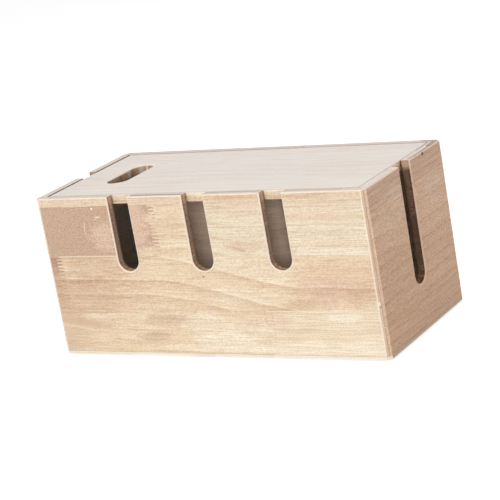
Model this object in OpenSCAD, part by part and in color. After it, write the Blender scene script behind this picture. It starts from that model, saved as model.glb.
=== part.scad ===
// Cable management box: four mitred boards on a thin base, with an inset lift-out lid.
//
// Frame: the origin is the middle of the footprint, on the surface that the feet stand on.
// +X runs along the box, -Y is the front with three cable slots, +Z is up.

/* [Box] */
// Length of the box over its end panels
box_l = 350; // [300:5:420]
// Width of the box over its front and back panels
box_w = 163; // [140:1:200]
// Height of the four walls, without the base
wall_h = 152; // [130:1:180]
// Thickness of the boards that the walls are cut from
board_t = 9; // [8:0.5:12]
// Bevel down each outer vertical corner, measured along either face
corner_bevel = 4; // [1.5:0.5:6]
// Small bevel that breaks the sharp outer edges of the boards
edge_ease = 0.8; // [0.3:0.1:1.2]

/* [Cable slots] */
// Width of every cable slot
slot_w = 22; // [16:1:30]
// Number of slots in the front panel
front_slots = 3; // [1:1:3]
// Distance between the centres of neighbouring front slots
slot_pitch = 81.5; // [60:0.5:90]
// Depth of the front slots below the top edge
front_slot_depth = 72; // [50:1:100]
// Depth of the end slots below the top edge
end_slot_depth = 112; // [60:1:120]
// Small bevel round the rims of the slots and of the hand hole
rim_ease = 1; // [0.3:0.1:1.5]

/* [Lid] */
// Thickness of the lid
lid_t = 9; // [8:0.5:12]
// Gap between the lid and each end panel
lid_gap_end = 1.2; // [0.5:0.1:2]
// Gap between the lid and the front and back panels
lid_gap_side = 0.8; // [0.5:0.1:2]
// Length of the hand hole, across the lid
hole_l = 65; // [50:1:90]
// Width of the hand hole
hole_w = 22; // [18:1:30]
// Distance from the left face of the box to the middle of the hand hole
hole_from_left = 57; // [45:1:80]

/* [Base] */
// Thickness of the plywood base
base_t = 3; // [2.5:0.5:6]
// Width of the square posts glued into the corners
post_w = 14; // [12:0.5:20]
// Bevel on the inner edge of each post
post_bevel = 3; // [0.5:0.5:5]

/* [Base screws] */
// Length of a countersunk wood screw
screw_l = 20; // [14:1:30]
// Diameter of the screw's shank
screw_d = 3; // [2.5:0.1:4]
// Diameter of the screw's head
screw_head_d = 5.8; // [5:0.1:7.5]
// Radial clearance round the screw
screw_fit = 0.05; // [0.02:0.01:0.1]

/* [Feet] */
// Diameter of a self-adhesive foot pad
foot_d = 12; // [8:1:16]
// Thickness of a foot pad
foot_t = 2; // [1.5:0.5:4]
// Radius that rounds the lower edge of a foot pad
foot_round = 1; // [0.5:0.1:1.4]
// Distance from each face of the box to the middle of a foot pad
foot_inset = 30; // [25:1:45]

/* [Hidden] */
// How far a cutter reaches past the faces that it cuts
over = 1;
// Sides of a full circle
$fn = 96;
// Half a right angle, the slope of every bevel and mitre
half_right = 45;
// Degrees between the points of a rounded edge
round_step = 15;

base_z = foot_t;
wall_z = base_z + base_t;
post_h = wall_h - lid_t;
lid_z = wall_z + post_h;
lid_l = box_l - 2 * (board_t + lid_gap_end);
lid_w = box_w - 2 * (board_t + lid_gap_side);
hole_x = hole_from_left - box_l / 2;
post_inset = board_t + post_w / 2;
screw_head_h = (screw_head_d - screw_d) / 2;
screw_tip = 2 * screw_d;

beech = [0.90, 0.82, 0.71];
beech_end = [0.76, 0.62, 0.51];
beech_lid = [0.89, 0.85, 0.81];
plywood = [0.86, 0.76, 0.62];
rubber = [0.16, 0.15, 0.15];
steel = [0.72, 0.70, 0.66];

// ---- shared shapes -------------------------------------------------------------------

// Half section of a cutter with eased rims, from its axis outwards, through a board
function rim_section(r, thick) = [
    [0, -over], [r + rim_ease + over, -over], [r, rim_ease],
    [r, thick - rim_ease], [r + rim_ease + over, thick + over], [0, thick + over]
];

// Cutter for a long round-ended hole through a board that lies on z = 0.
// The round ends are centred on the origin and at x = run.
module long_hole_cutter(width, run, thick) {
    section = rim_section(width / 2, thick);
    rotate([90, 0, 90])
        linear_extrude(run)
            union() {
                polygon(section);
                mirror([1, 0]) polygon(section);
            }
    for (x = [0, run])
        translate([x, 0, 0]) rotate_extrude() polygon(section);
}

// Cutter for a slot that is open at the top of a wall and round at its foot
module slot_cutter(depth) {
    translate([0, 0, wall_h - depth + slot_w / 2])
        rotate([-90, -90, 0])
            long_hole_cutter(slot_w, depth, board_t);
}

// Square bar that bevels the edge of length len along X at the origin
module edge_bevel(len, size) {
    side = size * sqrt(2);
    rotate([half_right, 0, 0]) cube([len, side, side], center = true);
}

// Outline of one wall board from above: mitred ends, and half a corner bevel at each.
// The outer face is on y = 0 and the board lies towards +Y.
function wall_outline(len) = let (h = len / 2, b = corner_bevel) [
    [-h + b, 0], [h - b, 0], [h - b / 2, b / 2],
    [h - board_t, board_t], [-h + board_t, board_t], [-h + b / 2, b / 2]
];

// One wall board, standing on z = 0, with its outer top edge eased
module wall_board(len) {
    difference() {
        linear_extrude(wall_h) polygon(wall_outline(len));
        translate([0, 0, wall_h]) edge_bevel(len, edge_ease);
        for (side = [-1, 1])
            translate([side * (len - corner_bevel) / 2, corner_bevel / 2, wall_h])
                rotate(side * half_right) edge_bevel(2 * corner_bevel, edge_ease);
    }
}

// Places its children at one corner of the box, inset the same from both faces
module at_corner(side, end, inset) {
    translate([end * (box_l / 2 - inset), side * (box_w / 2 - inset), 0]) children();
}

// ---- walls ---------------------------------------------------------------------------

module front_panel() {
    color(beech)
        translate([0, -box_w / 2, wall_z])
            difference() {
                wall_board(box_l);
                for (i = [0 : front_slots - 1])
                    translate([(i - (front_slots - 1) / 2) * slot_pitch, 0, 0])
                        slot_cutter(front_slot_depth);
            }
}

module back_panel() {
    color(beech)
        translate([0, box_w / 2, wall_z]) rotate(180) wall_board(box_l);
}

// An end board with its one slot; end is -1 for the left end and 1 for the right
module end_panel(end) {
    color(beech_end)
        translate([end * box_l / 2, 0, wall_z])
            rotate(end * 90)
                difference() {
                    wall_board(box_w);
                    slot_cutter(end_slot_depth);
                }
}

module left_end_panel() { end_panel(-1); }
module right_end_panel() { end_panel(1); }

// ---- base ----------------------------------------------------------------------------

// Outline of the whole box from above, with its four bevelled corners
module box_outline() {
    x = box_l / 2;
    y = box_w / 2;
    b = corner_bevel;
    polygon([
        [-x + b, -y], [x - b, -y], [x, -y + b], [x, y - b],
        [x - b, y], [-x + b, y], [-x, y - b], [-x, -y + b]
    ]);
}

// Section of a countersunk screw, from its axis outwards; the head's face is on y = 0
function screw_section(fit) = [
    [0, -fit], [screw_head_d / 2 + fit, -fit], [screw_head_d / 2 + fit, 0],
    [screw_d / 2 + fit, screw_head_h], [screw_d / 2 + fit, screw_l - screw_tip], [0, screw_l + fit]
];

// A hole for a base screw, open below the face that the screw's head lies in
module screw_hole() {
    translate([0, 0, base_z]) rotate_extrude() polygon(screw_section(screw_fit));
}

module base_panel() {
    color(plywood)
        difference() {
            translate([0, 0, base_z]) linear_extrude(base_t) box_outline();
            for (side = [-1, 1], end = [-1, 1])
                at_corner(side, end, post_inset) screw_hole();
        }
}

module base_screws() {
    color(steel)
        for (side = [-1, 1], end = [-1, 1])
            at_corner(side, end, post_inset)
                translate([0, 0, base_z]) rotate_extrude() polygon(screw_section(0));
}

// ---- corner posts, which stiffen the mitres and carry the lid ----------------------------

module corner_post(side, end) {
    color(beech)
        difference() {
            at_corner(side, end, board_t)
                mirror([end > 0 ? 1 : 0, 0]) mirror([0, side > 0 ? 1 : 0])
                    translate([0, 0, wall_z])
                        linear_extrude(post_h)
                            polygon([
                                [0, 0], [post_w, 0], [post_w, post_w - post_bevel],
                                [post_w - post_bevel, post_w], [0, post_w]
                            ]);
            at_corner(side, end, post_inset) screw_hole();
        }
}

module front_left_post() { corner_post(-1, -1); }
module front_right_post() { corner_post(-1, 1); }
module back_left_post() { corner_post(1, -1); }
module back_right_post() { corner_post(1, 1); }

// ---- feet ----------------------------------------------------------------------------

module foot_pad(side, end) {
    r = foot_d / 2;
    c = foot_round;
    color(rubber)
        at_corner(side, end, foot_inset)
            rotate_extrude()
                polygon(concat(
                    [[0, 0]],
                    [for (a = [0 : round_step : 90]) [r - c + c * sin(a), c - c * cos(a)]],
                    [[r, foot_t], [0, foot_t]]
                ));
}

module front_left_foot() { foot_pad(-1, -1); }
module front_right_foot() { foot_pad(-1, 1); }
module back_left_foot() { foot_pad(1, -1); }
module back_right_foot() { foot_pad(1, 1); }

// ---- lid -----------------------------------------------------------------------------

// Section of the lid across a width, with both upper edges eased
module lid_section(width) {
    h = width / 2;
    e = edge_ease;
    polygon([[-h, 0], [h, 0], [h, lid_t - e], [h - e, lid_t], [-h + e, lid_t], [-h, lid_t - e]]);
}

module lid() {
    run = hole_l - hole_w;
    color(beech_lid)
        translate([0, 0, lid_z])
            difference() {
                intersection() {
                    rotate([90, 0, 0]) linear_extrude(lid_w, center = true) lid_section(lid_l);
                    rotate([90, 0, 90]) linear_extrude(lid_l, center = true) lid_section(lid_w);
                }
                translate([hole_x, -run / 2, 0])
                    rotate(90) long_hole_cutter(hole_w, run, lid_t);
            }
}

front_panel();
back_panel();
left_end_panel();
right_end_panel();
base_panel();
lid();
front_left_post();
front_right_post();
back_left_post();
back_right_post();
front_left_foot();
front_right_foot();
back_left_foot();
back_right_foot();
base_screws();
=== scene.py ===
"""Looks of the cable management box: glued beech boards, a plywood base, rubber feet, steel screws."""
import math

import bmesh
import bpy
from mathutils import Matrix, Vector, noise


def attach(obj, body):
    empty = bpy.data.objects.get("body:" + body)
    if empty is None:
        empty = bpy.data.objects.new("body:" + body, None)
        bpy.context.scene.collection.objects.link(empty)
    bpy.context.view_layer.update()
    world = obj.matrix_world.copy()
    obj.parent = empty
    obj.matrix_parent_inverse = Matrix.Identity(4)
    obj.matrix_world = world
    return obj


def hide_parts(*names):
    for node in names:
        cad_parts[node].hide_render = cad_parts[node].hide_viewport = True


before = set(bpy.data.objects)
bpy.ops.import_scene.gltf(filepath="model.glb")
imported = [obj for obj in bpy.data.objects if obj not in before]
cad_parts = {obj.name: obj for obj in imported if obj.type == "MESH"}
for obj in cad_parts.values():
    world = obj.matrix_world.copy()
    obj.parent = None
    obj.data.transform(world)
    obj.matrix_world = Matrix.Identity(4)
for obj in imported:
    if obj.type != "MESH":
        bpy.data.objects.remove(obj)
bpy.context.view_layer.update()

MM = 0.001

# ---- sizes that the pieces share with the solids ----

BOX_L, BOX_W, BOX_H = 350 * MM, 163 * MM, 157 * MM
WALL_FOOT = 5 * MM
BASE_Z, BASE_MIDDLE = 2 * MM, 1.5 * MM
BOARD_T = 9 * MM
CORNER_BEVEL = 4 * MM
SCREW_INSET = 16 * MM
SCREW_HEAD_R, SCREW_SHANK_R, SCREW_L = 2.9 * MM, 1.5 * MM, 20 * MM
CORNERS = ("front_left", "front_right", "back_left", "back_right")

# ---- tones ----


def srgb(red, green, blue):
    """A colour written as it looks on screen, 0 to 255, as the linear colour that a node takes."""
    values = [c / 255 for c in (red, green, blue)]
    linear = [v / 12.92 if v <= 0.04045 else ((v + 0.055) / 1.055) ** 2.4 for v in values]
    return (*linear, 1.0)


WHITE = (1.0, 1.0, 1.0, 1.0)

# Wood, from pale to dark.
PALE = srgb(243, 229, 207)
CREAM = srgb(236, 217, 190)
HONEY = srgb(232, 209, 179)
MILKY = srgb(231, 214, 189)
TOP_STAVE = srgb(228, 205, 177)
SAND = srgb(225, 199, 170)
PALE_ROSE = srgb(224, 194, 172)
STRIP = srgb(224, 194, 167)
PALE_TAN = srgb(220, 190, 168)
TAN = srgb(216, 178, 146)
SHADY = srgb(213, 182, 154)
UMBER = srgb(208, 168, 136)
RUSSET = srgb(206, 168, 141)
ROSE = srgb(199, 168, 143)
MAUVE = srgb(192, 152, 131)

# Edges, marks and dirt.
ARRIS_HIGHLIGHT = srgb(255, 244, 222)
RUBBED_LID_HIGHLIGHT = srgb(255, 247, 238)
RUBBED_HIGHLIGHT = srgb(252, 237, 217)
RUBBED_END_HIGHLIGHT = srgb(232, 203, 176)
SCUFF_AND_HIGHLIGHT = srgb(252, 241, 226)
SMUDGE = srgb(206, 190, 178)
LEFT_EDGE_SHADE = srgb(180, 158, 142)
CUT_LIGHT = srgb(236, 222, 206)
CUT_WARM = srgb(214, 156, 120)
CUT_RUST = srgb(190, 130, 88)
CUT_SHADE = srgb(84, 66, 58)
HOLE_SHADE = srgb(158, 118, 94)
TOP_EDGE_BROWN = srgb(150, 122, 104)
DARK_FLECK = srgb(150, 112, 86)
BACK_LINE = srgb(138, 120, 110)
GAP_SHADE = srgb(112, 88, 72)
DARK_BROWN = srgb(102, 78, 60)

BASE_FACE = srgb(252, 246, 234)
BASE_CORE = srgb(246, 236, 218)
BASE_END = srgb(176, 142, 116)
RUBBER, RUBBER_DUST = srgb(44, 43, 43), srgb(96, 92, 88)
ZINC, ZINC_BLOOM = srgb(196, 194, 188), srgb(186, 178, 160)
TORN_DEEP, TORN_FIBRE = srgb(96, 66, 48), srgb(150, 112, 84)

# ---- nodes ----

SMOOTH = "SMOOTHSTEP"
ZERO = (0.0, 0.0, 0.0)


def plug(socket, value):
    """Gives an input socket another node's output or a plain value."""
    if isinstance(value, bpy.types.NodeSocket):
        socket.id_data.links.new(value, socket)
    else:
        socket.default_value = value


def fill(node, inputs):
    """Gives a node's inputs, each by its name or number."""
    for key, value in dict(inputs).items():
        plug(node.inputs[key], value)
    return node


def add(kind, inputs=(), tree=None, **settings):
    """Adds a node to a tree, by default to the one that the outputs among its inputs belong to."""
    inputs = dict(inputs)
    tree = tree or next(v.id_data for v in inputs.values() if isinstance(v, bpy.types.NodeSocket))
    made = tree.nodes.new(kind)
    for key, value in settings.items():
        setattr(made, key, value)
    return fill(made, inputs)


def calc(operation, *values, clamp=False):
    """A Math node's output."""
    return add("ShaderNodeMath", enumerate(values), operation=operation, use_clamp=clamp).outputs[0]


def plus(first, second):
    return calc("ADD", first, second)


def minus(first, second):
    return calc("SUBTRACT", first, second)


def times(first, second):
    return calc("MULTIPLY", first, second)


def times_plus(first, second, third):
    """The product of the first two, plus the third."""
    return calc("MULTIPLY_ADD", first, second, third)


def over(first, second, **settings):
    return calc("DIVIDE", first, second, **settings)


def vector(*parts):
    """A vector of three parts, each a value or a pair of a value and its scale."""
    values = [times(*part) if isinstance(part, tuple) else part for part in parts]
    return add("ShaderNodeCombineXYZ", enumerate(values)).outputs[0]


def parts_of(value):
    return add("ShaderNodeSeparateXYZ", {0: value}).outputs


def scaled(value, size):
    """A vector times a number."""
    return add("ShaderNodeVectorMath", {0: value, "Scale": size}, operation="SCALE").outputs[0]


def remap(value, low, high, to_low=0.0, to_high=1.0, kind="LINEAR"):
    """Maps low..high to to_low..to_high, clamped at both ends."""
    inputs = {"Value": value, "From Min": low, "From Max": high, "To Min": to_low, "To Max": to_high}
    return add("ShaderNodeMapRange", inputs, interpolation_type=kind).outputs[0]


def cloud(place, detail=2.0, roughness=0.5):
    """Smooth noise, 0 to 1, whose place is already scaled."""
    inputs = {"Vector": place, "Scale": 1.0, "Detail": detail, "Roughness": roughness}
    return add("ShaderNodeTexNoise", inputs).outputs[0]


def centred(*inputs):
    """Smooth noise around 0."""
    return minus(cloud(*inputs), 0.5)


def specks(place, scale, detail):
    """Noise on an unscaled place."""
    return add("ShaderNodeTexNoise", {"Vector": place, "Scale": scale, "Detail": detail}).outputs[0]


def mix(share, first, second):
    """Mixes two colours."""
    return add("ShaderNodeMix", {0: share, 6: first, 7: second}, data_type="RGBA").outputs[2]


def blend(share, first, second):
    """Mixes two values."""
    return add("ShaderNodeMix", {0: share, 2: first, 3: second}).outputs[0]


def bumped(height, strength, distance):
    """A normal that follows a height."""
    inputs = {"Height": height, "Strength": strength, "Distance": distance}
    return add("ShaderNodeBump", inputs).outputs[0]


def object_place(tree):
    return add("ShaderNodeTexCoord", tree=tree).outputs["Object"]


def new_material(name):
    """A node material with its tree and its Principled shader."""
    material = bpy.data.materials.new(name)
    material.use_nodes = True
    return material, material.node_tree, material.node_tree.nodes["Principled BSDF"]


def board_axes(tree, order):
    """Object coordinates, also as Along, Across and Through the board, in metres."""
    place = object_place(tree)
    split = parts_of(place)
    return place, {label: split["XYZ".index(letter)] for label, letter in zip(AXES, order)}


def face_mask(tree, name):
    """A value that the mesh carries on each face."""
    return add("ShaderNodeAttribute", tree=tree, attribute_name=name).outputs["Fac"]


def flat(axes):
    """Only Along and Across, for the groups that need no more."""
    return {name: axes[name] for name in FLAT}


def new_group(name, inputs, outputs, kind="Float"):
    """A shader node group, with its inputs as names and values, and the names of its outputs."""
    group = bpy.data.node_groups.new(name, "ShaderNodeTree")
    for label, value in inputs.items():
        size = 1 if isinstance(value, float) else len(value)
        socket = "NodeSocket" + {1: "Float", 3: "Vector", 4: "Color"}[size]
        group.interface.new_socket(label, in_out="INPUT", socket_type=socket).default_value = value
    for label in outputs:
        group.interface.new_socket(label, in_out="OUTPUT", socket_type="NodeSocket" + kind)
    source = group.nodes.new("NodeGroupInput").outputs
    sink = group.nodes.new("NodeGroupOutput").inputs
    return group, source, sink


def use_group(group, inputs):
    """Places a node group with its own values."""
    return add("ShaderNodeGroup", inputs, node_tree=group).outputs


# ---- effects that more than one wood shares ----

# A tuple for remap holds low and high, then what these two become. Noise scales are per metre.
FLAT = {"Along": 0.0, "Across": 0.0}
AXES = {**FLAT, "Through": 0.0}
ARCH = {"Arch from": -60 * MM, "Arch to": 110 * MM, "Arch": 0.0}

FINGER_PITCH, FINGER_LENGTH = 3.4 * MM, 7 * MM
FINGER_FLANK = (0.25, 0.75, -0.5, 0.5)


def finger_joint_group():
    """Shifts Along to and fro across the board, so that a straight cut becomes a finger joint."""
    inputs = {**FLAT, "Pitch": FINGER_PITCH, "Length": FINGER_LENGTH}
    group, source, sink = new_group("finger_joint", inputs, ["Along"])
    half = over(source["Pitch"], 2.0)
    tooth = over(calc("PINGPONG", source["Across"], half), half)
    shift = times(remap(tooth, *FINGER_FLANK), source["Length"])
    plug(sink["Along"], plus(source["Along"], shift))
    return group


def arched(source):
    """Across, which sinks by Arch on the way from Arch from to Arch to."""
    sunk = remap(source["Along"], source["Arch from"], source["Arch to"], 0.0, 1.0, SMOOTH)
    return times_plus(sunk, source["Arch"], source["Across"])


RING_SHIFT, RING_SWAY, RING_SEED_SHIFT = 3.4 * MM, 8 * MM, 0.37
RING_NOISE_ALONG, RING_NOISE_ACROSS, RING_NOISE_SEED = 6.0, 42.0, 17.0
LATE_WOOD_POWER = 2.6
RING_END = (0.93, 1.0, 1.0, 0.0, SMOOTH)
RING_DEPTH = (0.0, 1.0, 0.55, 1.0)
RING_SEED_STEP = 91.0
RING_PATCH_NOISE, RING_PATCHES = 14.0, (0.3, 0.6, 0.35, 1.0)


def growth_ring_group():
    """Growth rings: bands that run along the board and may sink towards one end as an arch."""
    inputs = {**FLAT, "Seed": 0.0, "Per metre": 120.0, **ARCH}
    group, source, sink = new_group("growth_rings", inputs, ["Shade"])
    along, seed = source["Along"], source["Seed"]
    across = arched(source)
    scales = ((along, RING_NOISE_ALONG), (across, RING_NOISE_ACROSS), (seed, RING_NOISE_SEED))
    wander = centred(vector(*scales), 3.0, 0.45)
    ring = times_plus(wander, RING_SWAY, minus(across, RING_SHIFT))
    ring = times_plus(seed, RING_SEED_SHIFT, ring)
    phase = times(ring, source["Per metre"])
    turn = calc("FRACT", phase)
    late = calc("POWER", turn, LATE_WOOD_POWER)
    close = remap(turn, *RING_END)
    each = times_plus(seed, RING_SEED_STEP, calc("FLOOR", phase))
    depth = add("ShaderNodeTexWhiteNoise", {"W": each}, noise_dimensions="1D").outputs[0]
    patchy = cloud(vector((along, RING_PATCH_NOISE), phase, 0.0))
    patchy = remap(patchy, *RING_PATCHES)
    depth = times(remap(depth, *RING_DEPTH), patchy)
    plug(sink["Shade"], times(times(late, close), depth))
    return group


LINE_NOISE_ALONG, LINE_NOISE_LEVEL, LINE_SWAY = 22.0, 900.0, 3 * MM
LINE_START, DARK_POWER = (-0.4 * MM, 0.3 * MM), 1.6
PALE_RISE, PALE_END, PALE_SHARE = (-4 * MM, -1 * MM), (-0.8 * MM, 0.0, 1.0, 0.0), 0.5
LINE_PATCH_NOISE, LINE_PATCHES = 30.0, (0.3, 0.6, 0.45, 1.0)


def figure_line_group():
    """One line of the figure between two heights: dark right below it, pale just above it."""
    inputs = {**FLAT, "Level": 0.0, "Reach": 9 * MM, "Low": -1.0, "High": 1.0, **ARCH}
    group, source, sink = new_group("figure_line", inputs, ["Shade"])
    level = source["Level"]
    across = arched(source)
    spot = vector((source["Along"], LINE_NOISE_ALONG), (level, LINE_NOISE_LEVEL), 0.0)
    wander = centred(spot, 3.0)
    below = minus(level, times_plus(wander, LINE_SWAY, across))
    fading = remap(below, 0.0, source["Reach"], 1.0, 0.0)
    dark = times(fading, remap(below, *LINE_START))
    dark = calc("POWER", dark, DARK_POWER)
    rising = remap(below, *PALE_RISE)
    pale = times(rising, remap(below, *PALE_END))
    shade = times_plus(pale, PALE_SHARE, times(dark, -1.0))
    spot = [(source[name], LINE_PATCH_NOISE) for name in FLAT]
    patchy = cloud(vector(*spot, level), 3.0)
    shade = times(shade, remap(patchy, *LINE_PATCHES))
    above = calc("GREATER_THAN", source["Across"], source["Low"])
    inside = times(above, calc("LESS_THAN", source["Across"], source["High"]))
    plug(sink["Shade"], times(shade, inside))
    return group


BLOCK_SHIFT = 23.0
FIBRE_RANGE, PORE_RANGE = (0.25, 0.75, -1.0, 1.0), (0.56, 0.68, 0.0, 1.0)
FIBRES_MADE = {  # noise scales along, across and through the board, detail, roughness, range
    "Streaks": (38.0, 1500.0, 1500.0, 1.0, 0.5, FIBRE_RANGE),
    "Figure": (17.0, 210.0, 140.0, 3.0, 0.6, FIBRE_RANGE),
    "Drift": (9.0, 48.0, 40.0, 2.0, 0.5, FIBRE_RANGE),
    "Speckle": (600.0, 1000.0, 1000.0, 2.0, 0.7, FIBRE_RANGE),
    "Pores": (190.0, 2300.0, 2300.0, 1.0, 0.5, PORE_RANGE),
}


def fibre_group():
    """Fibres and pores: streaks and specks along the board that differ from block to block."""
    group, source, sink = new_group("fibres", {**AXES, "Seed": 0.0}, FIBRES_MADE)
    offset = times(source["Seed"], BLOCK_SHIFT)
    for label, (along, across, through, detail, roughness, limits) in FIBRES_MADE.items():
        x = times_plus(source["Along"], along, offset)
        y = times(source["Across"], across)
        z = times_plus(source["Through"], through, offset)
        made = cloud(vector(x, y, z), detail, roughness)
        plug(sink[label], remap(made, *limits))
    return group


RED_GAIN, GREEN_GAIN, BLUE_GAIN = 0.7, 1.0, 1.25


def shade_group():
    """Lightens or darkens wood: blue moves most and red least, so dark grain is also browner."""
    group, source, sink = new_group("wood_shade", {"Colour": WHITE, "Shade": 0.0}, ["Colour"], "Color")
    gains = [times_plus(source["Shade"], gain, 1.0) for gain in (RED_GAIN, GREEN_GAIN, BLUE_GAIN)]
    inputs = {0: source["Colour"], 1: vector(*gains)}
    product = add("ShaderNodeVectorMath", inputs, operation="MULTIPLY").outputs[0]
    plug(sink["Colour"], product)
    return group


END_PORE_NOISE, END_PORES = 2400.0, (0.55, 0.7)
ARC_WAVE = {"Scale": 110.0, "Distortion": 6.0, "Detail": 2.0}
END_MOTTLE_NOISE, MOTTLE_GAIN, ARC_GAIN, END_LEVEL = 420.0, 2.2, -0.35, 0.92


def end_grain_group():
    """The cut end of a board: open pores, short arcs of growth rings and marks of the cutter."""
    group, source, sink = new_group("end_grain", {"Place": ZERO}, ["Shade", "Pores"])
    place = source["Place"]
    pores = cloud(scaled(place, END_PORE_NOISE), 1.0)
    plug(sink["Pores"], remap(pores, *END_PORES))
    arcs = add("ShaderNodeTexWave", {"Vector": place, **ARC_WAVE}, bands_direction="Z").outputs[1]
    mottle = cloud(scaled(place, END_MOTTLE_NOISE), 3.0, 0.6)
    shade = times_plus(arcs, ARC_GAIN, times(mottle, MOTTLE_GAIN))
    plug(sink["Shade"], minus(shade, END_LEVEL))
    return group


EDGE_NOISE = (70.0, 260.0, 0.0, 5.0, 0.68)
SLOW_NOISE = (40.0, 150.0, 3.7, 3.0, 0.5)
SWAY_RATIO = 6.0


def ragged_group():
    """Moves a place to and fro a little, so that what is drawn there gets an uneven outline."""
    inputs = {**FLAT, "Sway": 12 * MM}
    group, source, sink = new_group("ragged", inputs, ["Along", "Across", "Edge"])

    def uneven(along_scale, across_scale, layer, detail, roughness):
        spot = vector((source["Along"], along_scale), (source["Across"], across_scale), layer)
        return centred(spot, detail, roughness)

    edge = uneven(*EDGE_NOISE)
    plug(sink["Edge"], edge)
    slow = uneven(*SLOW_NOISE)
    plug(sink["Along"], times_plus(slow, source["Sway"], source["Along"]))
    narrow = over(source["Sway"], SWAY_RATIO)
    plug(sink["Across"], times_plus(edge, narrow, source["Across"]))
    return group


PATCH_FADE = (0.2, 1.2, 1.0, 0.0, SMOOTH)


def patch_group():
    """A soft oval patch, longer along the board than across it, whose Edge is uneven."""
    group, source, sink = new_group("soft_patch", {
        **FLAT, "Edge": 0.0, "Middle along": 0.0, "Middle across": 0.0,
        "Half length": 20 * MM, "Half width": 8 * MM, "Ragged": 3.0,
    }, ["Mask"])
    x = minus(source["Along"], source["Middle along"])
    y = minus(source["Across"], source["Middle across"])
    x = calc("POWER", over(x, source["Half length"]), 2.0)
    y = calc("POWER", over(y, source["Half width"]), 2.0)
    reach = times_plus(source["Edge"], source["Ragged"], plus(x, y))
    plug(sink["Mask"], remap(reach, *PATCH_FADE))
    return group


def mark_group():
    """A straight mark or a band around a slot: 1 within Half width of a line, then fading out."""
    inputs = {**FLAT, "From": ZERO, "To": ZERO, "Half width": 0.4 * MM, "Fade": 0.3 * MM}
    group, source, sink = new_group("mark", inputs, ["Mask"])

    def maths(operation, first, second=ZERO, output=0):
        return add("ShaderNodeVectorMath", {0: first, 1: second}, operation=operation).outputs[output]

    spot = vector(source["Along"], source["Across"], 0.0)
    away = maths("SUBTRACT", spot, source["From"])
    run = maths("SUBTRACT", source["To"], source["From"])
    reached = maths("DOT_PRODUCT", away, run, 1)
    share = over(reached, maths("DOT_PRODUCT", run, run, 1), clamp=True)
    gap = maths("LENGTH", maths("SUBTRACT", away, scaled(run, share)), output=1)
    outside = minus(gap, source["Half width"])
    plug(sink["Mask"], remap(outside, 0.0, source["Fade"], 1.0, 0.0))
    return group


TOP_BAND = (BOX_H - 1.1 * MM, BOX_H - 0.4 * MM)
INNER_BAND = (-BOARD_T + 0.2 * MM, -BOARD_T + 0.9 * MM, 1.0, 0.0)
GAP_BAND = (BOX_H - 2.8 * MM, BOX_H - 1.6 * MM)
MITRE_BAND = (0.25 * MM, 0.5 * MM, 1.0, 0.0)
STRIP_NOISE_ACROSS, STRIP_NOISE_UP, STRIP_RANGE = 700.0, 16.0, (0.3, 0.7, -1.0, 1.0)


def place_group():
    """Where on the box a spot lies, and the faint lines along its bevelled corners.

    Depth is 0 at the outer face of a wall and 1 at its inner face; Gap is beside the lid's gap.
    """
    outputs = ["Top", "Inside", "Depth", "Gap", "Mitre", "Strip"]
    group, source, sink = new_group("places", {"Place": ZERO}, outputs)
    x, y, z = parts_of(source["Place"])
    plug(sink["Top"], remap(z, *TOP_BAND))
    past_x = minus(calc("ABSOLUTE", x), BOX_L / 2)
    past_y = minus(calc("ABSOLUTE", y), BOX_W / 2)
    past = calc("MAXIMUM", past_x, past_y)
    inside = remap(past, *INNER_BAND)
    plug(sink["Inside"], inside)
    plug(sink["Depth"], remap(past, 0.0, -BOARD_T))
    near_top = remap(z, *GAP_BAND)
    plug(sink["Gap"], times(inside, near_top))
    off = minus(past_x, past_y)
    plug(sink["Mitre"], remap(calc("ABSOLUTE", off), *MITRE_BAND))
    lines = cloud(vector((off, STRIP_NOISE_ACROSS), (z, STRIP_NOISE_UP), 0.0), 2.0, 0.6)
    plug(sink["Strip"], remap(lines, *STRIP_RANGE))
    return group


WEAR_NOISE, WEAR_RANGE = 90.0, (0.25, 0.6, 0.6, 1.0)


def wear_group():
    """Where an eased edge takes its own tone, in patches: wear from sandpaper and hands, which also stands
    in for a painted highlight, and painted shade on edges that face away from the lamps.
    """
    group, source, sink = new_group("edge_wear", {**AXES, "Eased": 0.0}, ["Mask"])
    spot = vector(*[(source[name], WEAR_NOISE) for name in AXES])
    worn = remap(cloud(spot, 3.0), *WEAR_RANGE)
    plug(sink["Mask"], times(source["Eased"], worn))
    return group


FINGERS = finger_joint_group()
RINGS = growth_ring_group()
FIGURE_LINE = figure_line_group()
FIBRES = fibre_group()
SHADE = shade_group()
END_GRAIN = end_grain_group()
RAGGED = ragged_group()
PATCH = patch_group()
MARK = mark_group()
PLACES = place_group()
WEAR = wear_group()

# ---- wooden boards ----

LOOK = {
    # eased_tone: the eased edges, rubbed pale, which also stands in for a painted highlight; the left end's
    # darker tone is painted shade.
    "end_tone": srgb(196, 166, 142), "eased_tone": srgb(252, 234, 208),
    "bleach_tone": srgb(240, 228, 216), "bleach": 0.75,  # the top edge, paler and greyer: a painted sheen
    "raw_tone": srgb(196, 184, 172), "dust": 0.55,  # the inner faces: painted shade inside the box
    "mitre": 1.0, "gap": 0.5,  # the lines along the corners, and painted shade beside the lid, in its gap
    # sawn faces: their mottle, warmth and shade behind the face, at the inner rim and low down
    "mottle": 0.4, "end_mottle": 0.0, "cut_warm": 0.0, "deep": 0.12, "rim": 0.0, "well": 0.0,
    # grain: the arch is where it starts and ends and how far it sinks, in mm
    "rings": 0.2, "arch": (-62, 108, 30), "streaks": 0.17, "figure": 0.02, "drift": 0.03, "speckle": 0.24,
    # lines of the figure, each (level, reach, strength), and the heights between which they show
    "lines": (), "line_band": (-200, 200),
    "inlays": (), "gloss": 0.42, "specular": 0.35, "coat": 0.1,
}


def shaded(colour, shade):
    """A wood colour, lighter or darker."""
    return use_group(SHADE, {"Colour": colour, "Shade": shade})["Colour"]


HALF_SPAN = 180 * MM
GLUE_LINE, FINGER_GLUE = 0.22 * MM, 0.5 * MM
SEAM_NOISE, SEAM_SWAY = 9.0, 0.8 * MM


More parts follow.
